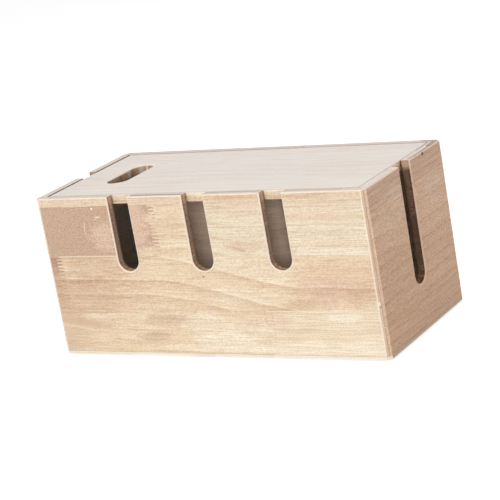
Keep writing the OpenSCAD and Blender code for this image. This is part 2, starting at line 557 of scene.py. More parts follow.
def block_ramp(position, blocks):
    """A ramp with constant steps, whose colour is a block's tone and whose alpha is its seed."""
    ramp = add("ShaderNodeValToRGB", {0: position})
    ramp.color_ramp.interpolation = "CONSTANT"
    steps = ramp.color_ramp.elements
    while len(steps) > 1:
        steps.remove(steps[1])
    for number, (start, tone, seed) in enumerate(blocks):
        place = (start * MM + HALF_SPAN) / (2 * HALF_SPAN) if number else 0.0
        step = steps.new(place) if number else steps[0]
        step.position = place
        step.color = (*tone[:3], seed)
    return ramp.outputs


def stave_tones(axes, staves):
    """Colour and seed of every glued block, and a mask of the glue lines between them.

    staves lists, from the lowest up, (upper edge, [(start of block, tone, seed), ...]).
    """
    along, across = axes["Along"], axes["Across"]
    shifted = use_group(FINGERS, {"Along": along, "Across": across})["Along"]
    position = remap(shifted, -HALF_SPAN, HALF_SPAN)
    wave = centred(vector((along, SEAM_NOISE), 0.0, 0.0), 1.0)
    level = times_plus(wave, SEAM_SWAY, across)
    colour = seed = lines = edge = None
    for top, blocks in staves:
        tone, block_seed = block_ramp(position, blocks)
        joints = 0.0
        for start, _, _ in blocks[1:]:
            joints = calc("MAXIMUM", joints, calc("COMPARE", shifted, start * MM, FINGER_GLUE))
        if edge is None:
            colour, seed, lines = tone, block_seed, joints
        else:
            above = calc("GREATER_THAN", level, edge)
            colour = mix(above, colour, tone)
            seed = blend(above, seed, block_seed)
            seam = calc("COMPARE", level, edge, GLUE_LINE)
            lines = calc("MAXIMUM", blend(above, lines, joints), seam)
        edge = top * MM
    return colour, seed, lines


PATCH_SIZES = ("Middle along", "Middle across", "Half length", "Half width")
INLAY_SWAY = 1.0 * MM


def patched(axes, colour, patches, inlays):
    """Paints soft patches, each (tone, middle x, middle y, half length, half width, strength).

    Inlays are crisp bands with the grain over them, given like marks.
    """
    uneven = use_group(RAGGED, flat(axes))
    spot = {name: uneven[name] for name in ("Along", "Across", "Edge")}
    for tone, *sizes, strength in patches:
        places = {label: size * MM for label, size in zip(PATCH_SIZES, sizes)}
        mask = use_group(PATCH, {**spot, **places})["Mask"]
        colour = mix(times(mask, strength), colour, tone)
    across = times_plus(uneven["Edge"], INLAY_SWAY, axes["Across"])
    return marked(uneven["Along"], across, colour, inlays)


def marked(along, across, colour, marks, share=1.0):
    """Draws marks where share isn't 0, each (tone, x, y, to x, to y, half width, fade, strength)."""
    for tone, x, y, to_x, to_y, half_width, fade, strength in marks:
        mask = use_group(MARK, {
            "Along": along, "Across": across, "Half width": half_width * MM, "Fade": fade * MM,
            "From": (x * MM, y * MM, 0.0), "To": (to_x * MM, to_y * MM, 0.0),
        })["Mask"]
        colour = mix(times(times(mask, share), strength), colour, tone)
    return colour


RINGS_BY_SEED = (0.0, 1.0, 52.6, 190.0)
ARCH_SEEDS, SMALL_ARCH = (0.0, 0.3), 3 * MM
EVEN_RING = 0.12
GRAINY_SEED, GRAINY_SPECKS, GRAINY_FIGURE = 0.9, 1.75, (0.0, 1.0, 1.0, 0.3)
FEW_RINGS = (0.0, 0.05, 0.3, 1.0)


def grain(axes, seed, look):
    """How much the figure, the fibres and the specks lighten or darken the wood, and the fibres."""
    first, last, drop = (size * MM for size in look["arch"])
    arch = {"Arch from": first, "Arch to": last}
    ring = use_group(RINGS, {
        **flat(axes), "Seed": seed, "Per metre": remap(seed, *RINGS_BY_SEED),
        **arch, "Arch": remap(seed, *ARCH_SEEDS, drop, SMALL_ARCH),
    })["Shade"]
    fibre = use_group(FIBRES, {**axes, "Seed": seed})
    grainy = calc("GREATER_THAN", seed, GRAINY_SEED)
    even = remap(grainy, *GRAINY_FIGURE)
    shade = times_plus(ring, -look["rings"], look["rings"] * EVEN_RING)
    shade = times(shade, even)
    if look["lines"]:
        shade = times(shade, remap(seed, *FEW_RINGS))
    band = dict(zip(("Low", "High"), (size * MM for size in look["line_band"])))
    for level, reach, strength in look["lines"]:
        sizes = {"Level": level * MM, "Reach": reach * MM, "Arch": drop}
        line = use_group(FIGURE_LINE, {**flat(axes), **sizes, **band, **arch})["Shade"]
        shade = times_plus(line, strength, shade)
    for output in ("Streaks", "Figure"):
        shade = times_plus(times(fibre[output], even), look[output.lower()], shade)
    shade = times_plus(fibre["Drift"], look["drift"], shade)
    specks_by_block = remap(grainy, 0.0, 1.0, look["speckle"], GRAINY_SPECKS * look["speckle"])
    return times_plus(fibre["Speckle"], specks_by_block, shade), fibre


END_CUT, EDGE_CUT, FACING_UP = (0.76, 0.97, 0.0, 1.0, SMOOTH), (0.2, 0.6, 1.0, 0.0), (0.1, 0.7)
TOP_MOTTLE, END_PORE_SHADE = -0.7, -0.25
DEEP_FROM, DEEP_TO, OUTER_SHADE = 0.12, 0.42, -0.3
SLOT_FOOT_SHADE = -0.42
RIM_BAND = (0.72, 0.92)
WELL_BAND = (BOX_H - 6 * MM, BOX_H - 1.5 * MM)


def across_grain(tree, order):
    """How far a spot is on end grain, on any face cut through the board, and on one facing up."""
    normal = add("ShaderNodeTexCoord", tree=tree).outputs["Normal"]
    facing = parts_of(normal)
    along, through = (calc("ABSOLUTE", facing["XYZ".index(order[i])]) for i in (0, 2))
    end_cut = remap(along, *END_CUT)
    return end_cut, remap(through, *EDGE_CUT), remap(facing[2], *FACING_UP)


def cut_faces(place, colour, cuts, spot, look):
    """Sawn faces: end grain with pores, darker right behind the face and in the foot of a slot."""
    end_cut, edge_cut, facing_up = cuts
    ends = use_group(END_GRAIN, {"Place": place})
    colour = mix(end_cut, colour, look["end_tone"])
    side = times(edge_cut, minus(1.0, spot["Top"]))
    mottle = times_plus(spot["Top"], TOP_MOTTLE, 1.0)
    mottle = times(times(edge_cut, look["mottle"]), mottle)
    mottle = times_plus(end_cut, look["end_mottle"], mottle)
    rough_cut = times(ends["Shade"], mottle)
    rough_cut = times_plus(times(ends["Pores"], end_cut), END_PORE_SHADE, rough_cut)
    deep = remap(spot["Depth"], DEEP_FROM, DEEP_TO, OUTER_SHADE, look["deep"])
    deep = times_plus(facing_up, SLOT_FOOT_SHADE, deep)
    # Painted shade: a dark band at the inner rim of a sawn face, and darker low down in the hand hole.
    deep = times_plus(remap(spot["Depth"], *RIM_BAND), -look["rim"], deep)
    colour = mix(times(side, look["cut_warm"]), colour, CUT_WARM)
    well = remap(parts_of(place)[2], *WELL_BAND, -look["well"], 0.0)
    shade = times_plus(side, plus(deep, well), rough_cut)
    return shaded(colour, shade), rough_cut


MARK_SWAY_ALONG, MARK_SWAY_ACROSS = 0.6 * MM, 0.4 * MM


def all_marks(axes, shade, colour, marks, spot, edge_cut):
    """Draws the marks that lie anywhere, only on the face, only on sawn faces or on the top edge."""
    along = times_plus(shade, MARK_SWAY_ALONG, axes["Along"])
    across = times_plus(shade, MARK_SWAY_ACROSS, axes["Across"])
    places = {
        "face": (across, minus(1.0, edge_cut)), "cut": (across, edge_cut),
        "top": (axes["Through"], spot["Top"]), "anywhere": (across, 1.0),
    }
    for kind, (second, share) in places.items():
        colour = marked(along, second, colour, marks.get(kind, ()), share)
    return colour


CALM_TOP, SHADE_LIFT, PORE_SHADE = (0.0, 1.0, 1.0, 0.5), 0.02, -0.1
GLUE_NOISE, GLUE_SHADE = 45.0, (0.3, 0.7, -0.08, -0.3)
STRIP_LINES, STRIP_MITRE, STRIP_GRAIN = 0.16, -0.3, 0.7
EDGE_SHADE_SHARE = 0.75


def grained(axes, colour, seed, lines, spot, look):
    """The board's tones with their grain and glue lines."""
    # Painted shade on the inner faces of the box.
    colour = mix(times(spot["Inside"], look["dust"]), colour, look["raw_tone"])
    # Painted sheen on the top edge: paler and greyer.
    colour = mix(times(spot["Top"], look["bleach"]), colour, look["bleach_tone"])
    shade, fibre = grain(axes, seed, look)
    # The grain is calmer on the top edge, under the painted sheen.
    shade = times(shade, remap(spot["Top"], *CALM_TOP))
    shade = times_plus(fibre["Pores"], PORE_SHADE, plus(shade, SHADE_LIFT))
    colour = shaded(colour, shade)
    lines = calc("MAXIMUM", lines, times(spot["Mitre"], look["mitre"]))
    faint = cloud(vector(*[(axes[side], GLUE_NOISE) for side in AXES]))
    glue = remap(faint, *GLUE_SHADE)
    return shaded(colour, times(lines, glue)), shade, fibre, lines


def eased_and_shaded_edges(tree, axes, colour, look):
    """Eased edges in their own tone, mostly rubbed pale with a painted highlight and with painted shade on
    the left end; then painted shade on the lips of the lid's gap and on inner and lower edges.
    """
    worn = use_group(WEAR, {**axes, "Eased": face_mask(tree, "eased")})["Mask"]
    colour = mix(worn, colour, look["eased_tone"])
    return mix(times(face_mask(tree, "grimy"), EDGE_SHADE_SHARE), colour, DARK_BROWN)


STREAK_ROUGH, CUT_ROUGH, COAT_ROUGHNESS = 0.03, 0.2, 0.25
STREAK_HEIGHT, PORE_HEIGHT, LINE_HEIGHT, CUT_HEIGHT = 0.4, -1.0, -0.6, 3.0
WOOD_BUMP = (0.4, 0.07 * MM)


def wood_surface(shader, colour, fibre, edge_cut, lines, rough_cut, look):
    """The gloss and the fine relief of wood under a thin coat."""
    rough = times_plus(fibre["Streaks"], STREAK_ROUGH, look["gloss"])
    rough = times_plus(edge_cut, CUT_ROUGH, rough)
    pores = times(fibre["Pores"], PORE_HEIGHT)
    height = times_plus(fibre["Streaks"], STREAK_HEIGHT, pores)
    height = times_plus(lines, LINE_HEIGHT, height)
    height = times_plus(rough_cut, CUT_HEIGHT, height)
    fill(shader, {
        "Base Color": colour, "Roughness": rough, "Specular IOR Level": look["specular"],
        "Coat Weight": look["coat"], "Coat Roughness": COAT_ROUGHNESS,
        "Normal": bumped(height, *WOOD_BUMP),
    })


def wood(name, order, staves, patches=(), marks=None, **own):
    """A glued board. order names the axes that run along, across and through the board."""
    look = {**LOOK, **own}
    material, tree, shader = new_material(name)
    place, axes = board_axes(tree, order)
    spot = use_group(PLACES, {"Place": place})
    colour, seed, lines = stave_tones(axes, staves)
    colour = patched(axes, colour, patches, look["inlays"])
    colour, shade, fibre, lines = grained(axes, colour, seed, lines, spot, look)
    cuts = across_grain(tree, order)
    colour, rough_cut = cut_faces(place, colour, cuts, spot, look)
    # Painted shade in the lid's gap, at the top of each wall's inner face.
    colour = mix(times(spot["Gap"], look["gap"]), colour, GAP_SHADE)
    strip = shaded(STRIP, times(spot["Strip"], STRIP_LINES))
    mitre_shade = times_plus(spot["Mitre"], STRIP_MITRE, times(shade, STRIP_GRAIN))
    strip = shaded(strip, mitre_shade)
    colour = mix(face_mask(tree, "bevelled"), colour, strip)
    colour = all_marks(axes, shade, colour, marks or {}, spot, cuts[1])
    colour = eased_and_shaded_edges(tree, axes, colour, look)
    wood_surface(shader, colour, fibre, cuts[1], lines, rough_cut, look)
    return material


# ---- the boards' staves, patches and marks, in mm ----

RUBBED_HALF_WIDTH, ABOVE_THE_TOP = 12.15, 177


def slot_edges(tone, middles, arc_z):
    """Marks that make the face paler right beside the slots, where their edges were sanded; the pale rim is
    also a painted highlight.
    """
    return [(tone, middle, arc_z, middle, ABOVE_THE_TOP, RUBBED_HALF_WIDTH, 0.4, 0.5) for middle in middles]


FRONT_STAVES = [
    (47.6, [(-175, HONEY, 0.06), (-114.4, HONEY, 0.34), (59.5, CREAM, 0.5)]),
    (98.6, [(-175, MAUVE, 0.62), (-161.5, HONEY, 0.0)]),
    (148.6, [(-175, ROSE, 0.93), (-47.5, HONEY, 0.31), (0, MILKY, 0.129)]),
    (160, [(-175, TOP_STAVE, 0.74)]),
]
FRONT_UPPER_PATCHES = [
    (PALE_ROSE, -68, 130, 17, 40, 0.8), (HONEY, -48, 134, 8, 6, 0.9), (HONEY, -53, 104, 15, 6, 0.8),
    (HONEY, -66, 101.5, 16, 3, 0.7), (PALE_ROSE, -104, 118, 16, 17, 0.75), (RUSSET, -100, 144, 20, 5, 0.4),
    (SAND, -33, 127, 24, 12, 0.7), (PALE, -26, 109.5, 18, 2.2, 0.4), (SAND, -28, 103, 18, 3.2, 0.35),
    (PALE, -36, 94.5, 34, 2.2, 0.4), (SAND, 42, 105.4, 9, 3, 0.6), (SAND, 50, 108, 32, 9, 0.5),
    (SAND, 40, 145.5, 36, 3, 0.6), (SAND, 135, 146, 50, 3.5, 0.6), (HONEY, 130, 136, 60, 8, 0.7),
    (HONEY, 135, 109, 50, 3, 0.4), (SAND, 120, 151.5, 50, 2, 0.5), (TAN, 44, 154.5, 38, 3, 0.65),
    (SHADY, 114, 153, 26, 3, 0.6),
]
# In this list and the next, the SHADY patches at the left end are painted shade: the front grows darker
# towards its left end.
FRONT_MIDDLE_PATCHES = [
    (SHADY, -150, 60, 75, 26, 0.75), (SHADY, -116, 86, 46, 14, 0.62), (CREAM, 8, 95, 34, 5, 0.8),
    (CREAM, 40, 90, 40, 9, 0.85), (CREAM, 66, 84, 32, 10, 0.7), (PALE, 83, 74.5, 17, 3.5, 0.5),
    (TAN, 140, 74, 56, 24, 0.45), (PALE_ROSE, 124, 64, 26, 16, 0.65), (ROSE, 158, 61, 20, 15, 0.3),
    (SHADY, 94, 53, 18, 6, 0.7), (PALE, 34, 60, 44, 10, 0.4), (SAND, -80, 55, 80, 4, 0.35),
]
FRONT_LOWER_PATCHES = [
    (SHADY, -190, 30, 60, 50, 0.6), (SAND, -150, 35.5, 42, 5, 0.5), (PALE, -128, 41.5, 20, 4, 0.6),
    (ROSE, -52, 38, 30, 8, 0.42), (SAND, -92, 29, 9, 5, 0.5), (ROSE, -68, 21, 20, 6, 0.5),
    (PALE, 22, 30, 50, 9, 0.6), (PALE, -95, 20, 11, 4.5, 0.35), (PALE, -81, 40, 8, 3, 0.55),
    (PALE, -8, 40, 20, 6, 0.8), (PALE, 10, 18, 38, 9, 1.0), (PALE_ROSE, 36, 32, 15, 7, 0.35),
    (PALE, -24, 33, 13, 9, 0.4), (PALE_ROSE, 70, 37, 18, 10, 0.4), (SAND, 84, 22, 12, 5, 0.4),
    (PALE, 52, 11, 125, 6, 0.9), (HONEY, 103, 33, 18, 9, 0.55), (PALE, 136, 42, 20, 7, 1.0),
    (HONEY, 160, 36, 12, 10, 0.45), (PALE, 146, 13, 30, 8, 0.9), (PALE, 100, 17, 14, 5, 0.5),
]
FRONT_INLAYS = [
    (TOP_STAVE, -66, 154.6, -40, 154.6, 5.6, 0.5, 0.9), (PALE, 103, 102.3, 190, 102.3, 3.6, 0.9, 0.65),
    (CREAM, 96, 46.2, 190, 46.2, 1.0, 0.5, 0.9),
]
FRONT_MARKS = [
    # Bright lines down the arrises of both corner bevels: painted highlights.
    (ARRIS_HIGHLIGHT, -170.9, -9, -170.9, 159, 0.25, 0.35, 0.7), (ARRIS_HIGHLIGHT, 170.8, -9, 170.8, 159, 0.3, 0.4, 0.8),
    # A dark band down the left corner: painted shade, where it faces away from the lamps.
    (LEFT_EDGE_SHADE, -175.4, -9, -175.4, 159, 1.7, 1.0, 0.85), (PALE, -160, 99.7, -94, 99.9, 0.35, 0.6, 0.7),
    (CREAM, -50, 98.6, 90, 98.6, 0.3, 0.5, 0.7),
    (SCUFF_AND_HIGHLIGHT, -111.6, 146.5, -111.3, 146.3, 0.7, 0.5, 1.0), (SCUFF_AND_HIGHLIGHT, -109, 137.8, -105, 138.4, 0.4, 0.5, 0.7),
    (SCUFF_AND_HIGHLIGHT, -111, 136, -109.5, 135.8, 0.3, 0.3, 0.4), (SCUFF_AND_HIGHLIGHT, -122.4, 132.5, -124, 129, 0.2, 0.4, 0.5),
    (SCUFF_AND_HIGHLIGHT, -124, 129, -124.2, 125, 0.3, 0.4, 0.5), (SCUFF_AND_HIGHLIGHT, -124.2, 125, -123.4, 121.5, 0.2, 0.4, 0.5),
    (DARK_FLECK, -2.6, 79.6, -2.2, 79.5, 0.8, 0.5, 0.6),
    (DARK_FLECK, -130.5, 75.4, -127.6, 75.2, 0.2, 0.6, 0.3),
    (UMBER, 25.5, 109.4, 36, 106.6, 0.3, 0.8, 0.5), (UMBER, 37, 106.4, 46, 103.6, 0.5, 1.4, 0.6),
    (UMBER, -113, 86, -105, 84.4, 0.3, 0.7, 0.8), (UMBER, -105, 84.4, -97, 81.6, 0.3, 0.7, 0.8),
    (UMBER, -66, 122.8, -50, 128.8, 0.2, 0.6, 0.5), (UMBER, -175, 43.9, -116, 43.7, 0.2, 0.6, 0.6),
    (SHADY, -175, 37.4, -150, 35.2, 1.6, 3.2, 0.7), (SHADY, -150, 35.2, -131, 31.6, 1.6, 3.0, 0.75),
    (CREAM, -170, 31.5, -150, 29.2, 0.4, 1.6, 0.5), (CREAM, -150, 29.2, -133, 25.4, 0.4, 1.6, 0.5),
    # The dark mark at the front left top corner is painted shade.
    (SHADY, -131, 31.4, -116, 30.6, 1.0, 2.6, 0.6), (DARK_BROWN, -175.5, 157.5, -174.4, 155.4, 0.4, 0.8, 0.6),
    # A white spot on the right corner bevel, at the chipped glue line: a painted highlight.
    (SCUFF_AND_HIGHLIGHT, 171.4, 54.6, 171.8, 53.4, 0.8, 0.4, 1.0),
]
GROOVES = ((12, 70, 140.6), (95, 171, 143.8), (12, 70, 126.4), (95, 171, 127.4), (-40, -12, 112))
for start, end, z in GROOVES:
    FRONT_MARKS.append((UMBER, start, z, end, z, 0.1, 0.7, 0.3))
    FRONT_MARKS.append((PALE, start, z + 1.5, end, z + 1.6, 0.2, 1.2, 0.35))
# Dark lines along the front board's top beside the lid: painted shade of its gap.
FRONT_TOP_MARKS = [
    (GAP_SHADE, -67, -77.2, -13, -77.6, 0.9, 0.8, 0.8), (GAP_SHADE, 13, -74.8, 70, -74.8, 0.7, 0.7, 0.5),
    (GAP_SHADE, 95, -75, 150, -75.8, 0.6, 0.8, 0.45), (GAP_SHADE, -165, -75, -95, -75, 0.4, 0.8, 0.3),
]
FRONT_LINES = ((98.4, 12, 0.19), (76.6, 12, 0.26), (61.5, 9, 0.17))


def front_wood():
    patches = FRONT_UPPER_PATCHES + FRONT_MIDDLE_PATCHES + FRONT_LOWER_PATCHES
    slots = slot_edges(RUBBED_HIGHLIGHT, (-81.5, 0, 81.5), 96)
    marks = {"face": slots, "anywhere": FRONT_MARKS, "top": FRONT_TOP_MARKS}
    return wood("front_wood", "XZY", FRONT_STAVES, patches, marks, inlays=FRONT_INLAYS,
                lines=FRONT_LINES, line_band=(47.6, 98.6), gap=0.3, eased_tone=srgb(255, 238, 222),
                cut_warm=0.22, deep=0.2, rim=0.5, mottle=0.65)


def back_wood():
    staves = [
        (41, [(-175, CREAM, 0.41), (-22, SAND, 0.17), (128, PALE, 0.66)]),
        (88, [(-175, SAND, 0.09), (96, CREAM, 0.52)]),
        (133, [(-175, SAND, 0.71), (-92, HONEY, 0.03), (151, ROSE, 0.95)]),
        (160, [(-175, SAND, 0.58), (31, CREAM, 0.36)]),
    ]
    patches = [
        (ROSE, -60, 66, 50, 12, 0.45), (PALE, 40, 20, 50, 7, 0.7), (TAN, 120, 110, 40, 16, 0.35),
        (PALE, -120, 112, 40, 8, 0.6), (PALE, 10, 120, 44, 6, 0.6), (ROSE, 96, 24, 22, 8, 0.5),
    ]
    top = [
        # The brown patch on the top at the back right corner is painted shade.
        (TOP_EDGE_BROWN, 158, 79, 171, 76, 2.0, 2.0, 0.6), (BACK_LINE, -176, 80.6, -40, 80.6, 0.9, 0.8, 0.95),
        (BACK_LINE, -40, 80.6, 176, 80.6, 0.3, 0.8, 0.4),
    ]
    return wood("back_wood", "XZY", staves, patches, {"top": top}, arch=(120, -90, 34),
                bleach_tone=srgb(232, 218, 209), raw_tone=srgb(204, 180, 167), dust=0.4, gap=0.42,
                streaks=0.12, speckle=0.2, eased_tone=srgb(172, 158, 150))


def right_end_wood():
    staves = [
        (34.5, [(-90, UMBER, 0.47)]), (86, [(-90, UMBER, 0.28)]),
        (135.3, [(-90, TAN, 0.06)]), (160, [(-90, RUSSET, 0.83)]),
    ]
    patches = [
        (TAN, 50, 60, 34, 30, 0.5), (SAND, -55, 118, 26, 12, 0.25), (RUSSET, -40, 62, 34, 16, 0.4),
        (PALE_TAN, 55, 120, 26, 22, 0.4), (PALE_TAN, -60, 138, 24, 2.2, 0.5),
        (PALE_TAN, -27, 139, 18, 8, 0.75), (RUSSET, 0, 8, 120, 13, 0.7),
        (RUSSET, 66, 70, 18, 26, 0.5), (PALE_TAN, -20, 121, 30, 10, 0.4),
    ]
    # Dark marks on the slot's side wall and in its foot: painted shade in the slot.
    cut = [
        (PALE_TAN, 11, 160, 11, 150, 0.5, 1.5, 0.5), (CUT_SHADE, 11, 104, 11, 60, 0.2, 0.8, 0.3),
        (CUT_SHADE, -2, 45, 5, 46, 1.0, 2.5, 0.45),
    ]
    # The dark line at the inner edge of the top is painted shade of the lid's gap.
    top = [
        (CUT_LIGHT, 18, 168.3, 62, 168.3, 0.7, 0.8, 0.5), (TOP_EDGE_BROWN, 15, 172.3, 46, 173.2, 0.9, 0.8, 0.7),
        (GAP_SHADE, 44, 166.1, 70, 166.1, 0.5, 0.6, 0.6), (TOP_EDGE_BROWN, 46, 173, 60, 172.4, 0.9, 0.7, 0.75),
        (TOP_EDGE_BROWN, 60, 171.8, 82, 170.5, 2.0, 1.2, 0.75),
    ]
    marks = {"face": slot_edges(RUBBED_END_HIGHLIGHT, (0,), 56), "cut": cut, "top": top}
    return wood("right_end_wood", "YZX", staves, patches, marks, arch=(-70, 30, 14), rings=0.3,
                figure=0.04, drift=0.04, speckle=0.42, streaks=0.18, specular=0.2, mottle=0.75,
                deep=0.05, rim=0.5, bleach=0.95, bleach_tone=srgb(248, 236, 226), gap=0.2,
                end_tone=srgb(163, 131, 110), eased_tone=srgb(240, 212, 186))


def left_end_wood():
    staves = [
        (28, [(-90, TAN, 0.15)]), (76, [(-90, RUSSET, 0.55), (24, TAN, 0.2)]),
        (124, [(-90, TAN, 0.91)]), (160, [(-90, UMBER, 0.38)]),
    ]
    patches = [(SAND, -30, 100, 40, 12, 0.3), (RUSSET, 20, 50, 34, 12, 0.4)]
    # A dark line along the outer top edge: painted shade.
    top = [(TOP_EDGE_BROWN, -90, -174.6, 90, -174.6, 0.5, 0.7, 0.7)]
    marks = {"face": slot_edges(RUBBED_END_HIGHLIGHT, (0,), 56), "top": top}
    # Its eased edges face away from the lamps and take painted shade.
    return wood("left_end_wood", "YZX", staves, patches, marks, arch=(60, -50, 16), bleach=0.9,
                gap=0.95, rim=0.5, raw_tone=srgb(205, 206, 209), dust=0.85,
                end_tone=srgb(186, 158, 140), eased_tone=LEFT_EDGE_SHADE)


def lid_wood():
    staves = [
        (-38, [(-175, CREAM, 0.31), (128, PALE, 0.64)]), (9, [(-175, HONEY, 0.12)]),
        (52, [(-175, CREAM, 0.78), (-30, PALE, 0.44)]), (80, [(-175, HONEY, 0.57)]),
    ]
    # The hand hole's rim is rubbed pale, with a painted highlight.
    face = [
        # A broad band, paler towards the lid's front edge: painted light.
        (RUBBED_LID_HIGHLIGHT, -118, -21.5, -118, 21.5, 12.3, 0.9, 0.9), (SCUFF_AND_HIGHLIGHT, 0, -58, 200, -58, 8.0, 34.0, 0.42),
        (SMUDGE, -164, -70, -164, 70, 6.0, 26.0, 0.13), (SMUDGE, -104, 33.2, -97, 33.2, 0.6, 1.6, 0.5),
    ]
    # The hand hole's walls: a darker brown and dark marks, painted shade in the hole; the pale marks at its
    # far end, which faces the lamps, are painted light.
    cut = [
        (HOLE_SHADE, -118, -21.5, -118, 21.5, 11.2, 0.2, 0.6),
        (CUT_LIGHT, -129, 13.5, -128.9, 13.5, 1.0, 2.4, 0.6),
        (CUT_RUST, -129, 6, -128.9, 5, 0.6, 2.0, 0.45), (CUT_SHADE, -129, -25, -128, -28, 2.5, 4.0, 0.7),
        (CUT_SHADE, -129, -2, -128.9, -1, 1.0, 2.0, 0.4), (CUT_LIGHT, -120, 32, -119.6, 33, 0.6, 0.5, 0.85),
        (CUT_LIGHT, -126, 29, -125, 30, 0.8, 1.5, 0.35), (CUT_SHADE, -129, 19, -128.4, 20, 1.0, 2.0, 0.3),
    ]
    return wood("lid_wood", "XYZ", staves, marks={"face": face, "cut": cut}, arch=(-20, 150, 24),
                end_tone=HONEY, mottle=0.12, end_mottle=0.7, well=0.35, streaks=0.26, rings=0.36,
                figure=0.06, drift=0.07, dust=0.0, gap=0.0, mitre=0.0, bleach=0.82,
                bleach_tone=srgb(241, 227, 218), gloss=0.38, specular=0.5, coat=0.5,
                eased_tone=srgb(250, 237, 220))


def post_wood():
    # The posts stand inside the box and take its painted shade.
    return wood("post_wood", "ZXY", [(160, [(-90, SAND, 0.4)])], arch=(0, 1, 0), mitre=0.0, gap=0.0,
                dust=0.8, raw_tone=srgb(192, 186, 182))


# ---- base, feet, screws, chips ----

FACE_SEED, CORE_SEED, BASE_RING_SEED, BASE_RINGS = 0.19, 0.7, 0.05, 60.0
BASE_ARCH = {"Arch from": -100 * MM, "Arch to": 120 * MM, "Arch": 40 * MM}
PLY_RING_SHADE, PLY_STREAKS, PLY_PORE_SHADE = -0.3, 0.12, -0.2
PLY_NOISE, PLY_SWAY = 40.0, 0.25 * MM
PLY_HALF, PLY_GLUE_HALF, PLY_GLUE_SHADE = 0.55 * MM, 0.62 * MM, -0.35
PLY_END_SHARE = 0.7
JOINT_BAND, JOINT_SHADE_AND_GLUE = (WALL_FOOT - 0.5 * MM, WALL_FOOT - 0.2 * MM), 0.5
PLY_ROUGH, PLY_STREAK_ROUGH, PLY_BUMP = 0.55, 0.04, (0.4, 0.08 * MM)


def plies(place, axes, fibre):
    """The tones of the outer plies and of the crossed one between them."""
    along, across, through = axes.values()
    crossed = {"Along": across, "Across": along, "Through": through, "Seed": CORE_SEED}
    crossed = use_group(FIBRES, crossed)
    inputs = {**flat(axes), "Seed": BASE_RING_SEED, "Per metre": BASE_RINGS, **BASE_ARCH}
    ring = use_group(RINGS, inputs)["Shade"]
    ends = use_group(END_GRAIN, {"Place": place})
    streaks = times(fibre["Streaks"], PLY_STREAKS)
    face = shaded(BASE_FACE, times_plus(ring, PLY_RING_SHADE, streaks))
    streaks = times(crossed["Streaks"], PLY_STREAKS)
    return face, shaded(BASE_CORE, times_plus(ends["Pores"], PLY_PORE_SHADE, streaks))


def plywood():
    """Three plies: the grain of the middle one runs the other way, so its edge is darker."""
    material, tree, shader = new_material("base_plywood")
    place, axes = board_axes(tree, "XYZ")
    along, across, through = axes.values()
    fibre = use_group(FIBRES, {**axes, "Seed": FACE_SEED})
    face, core = plies(place, axes, fibre)
    wave = centred(vector((along, PLY_NOISE), (across, PLY_NOISE), 0.0))
    level = times_plus(wave, PLY_SWAY, through)
    inner = calc("COMPARE", level, BASE_Z + BASE_MIDDLE, PLY_HALF)
    glue = minus(calc("COMPARE", level, BASE_Z + BASE_MIDDLE, PLY_GLUE_HALF), inner)
    colour = mix(inner, face, core)
    colour = shaded(colour, times(glue, PLY_GLUE_SHADE))
    end_cut = across_grain(tree, "XYZ")[0]
    colour = mix(times(end_cut, PLY_END_SHARE), colour, BASE_END)
    # Painted shade along the top edge where the walls stand on the base, with the glue line there.
    joint = remap(through, *JOINT_BAND)
    colour = mix(times(joint, JOINT_SHADE_AND_GLUE), colour, DARK_BROWN)
    rough = times_plus(fibre["Streaks"], PLY_STREAK_ROUGH, PLY_ROUGH)
    height = minus(times(fibre["Streaks"], STREAK_HEIGHT), fibre["Pores"])
    normal = bumped(height, *PLY_BUMP)
    fill(shader, {"Base Color": colour, "Roughness": rough, "Normal": normal})
    return material


STIPPLE_SCALE, DUST_NOISE, DUST_RANGE, DUST_SHARE = 1600.0, (260.0, 4.0), (0.45, 0.75), 0.4
RUBBER_ROUGH, DUST_ROUGH, RUBBER_BUMP = 0.6, 0.2, (0.4, 0.05 * MM)


def rubber():
    """Dark pad rubber with a fine stipple and a little dust."""
    material, tree, shader = new_material("foot_rubber")
    place = object_place(tree)
    inputs = {"Vector": place, "Scale": STIPPLE_SCALE}
    stipple = add("ShaderNodeTexVoronoi", inputs).outputs[0]
    dust = remap(specks(place, *DUST_NOISE), *DUST_RANGE)
    colour = mix(times(dust, DUST_SHARE), RUBBER, RUBBER_DUST)
    rough = times_plus(dust, DUST_ROUGH, RUBBER_ROUGH)
    normal = bumped(stipple, *RUBBER_BUMP)
    fill(shader, {"Base Color": colour, "Roughness": rough, "Normal": normal})
    return material


BLOOM_NOISE, BLOOM_RANGE, STEEL_ROUGH = (420.0, 3.0), (0.4, 0.7), (0.0, 1.0, 0.28, 0.46)
STEEL_GRAIN, STEEL_BUMP = (3000.0, 2.0), (0.3, 0.02 * MM)


def steel():
    """Zinc-plated steel with a faint yellow bloom."""
    material, tree, shader = new_material("screw_steel")
    place = object_place(tree)
    bloom = remap(specks(place, *BLOOM_NOISE), *BLOOM_RANGE)
    colour = mix(bloom, ZINC, ZINC_BLOOM)
    rough = remap(bloom, *STEEL_ROUGH)
    normal = bumped(specks(place, *STEEL_GRAIN), *STEEL_BUMP)
    fill(shader, {"Base Color": colour, "Roughness": rough, "Metallic": 1.0, "Normal": normal})
    return material


TORN_NOISE, TORN_ROUGHNESS, TORN_BUMP = (1800.0, 3.0), 0.8, (0.6, 0.2 * MM)


def torn_wood():
    """Bare crushed fibres inside a nick."""
    material, tree, shader = new_material("torn_wood")
    torn = specks(object_place(tree), *TORN_NOISE)
    colour = mix(torn, TORN_DEEP, TORN_FIBRE)
    normal = bumped(torn, *TORN_BUMP)
    fill(shader, {"Base Color": colour, "Roughness": TORN_ROUGHNESS, "Normal": normal})
    return material


# ---- meshes ----

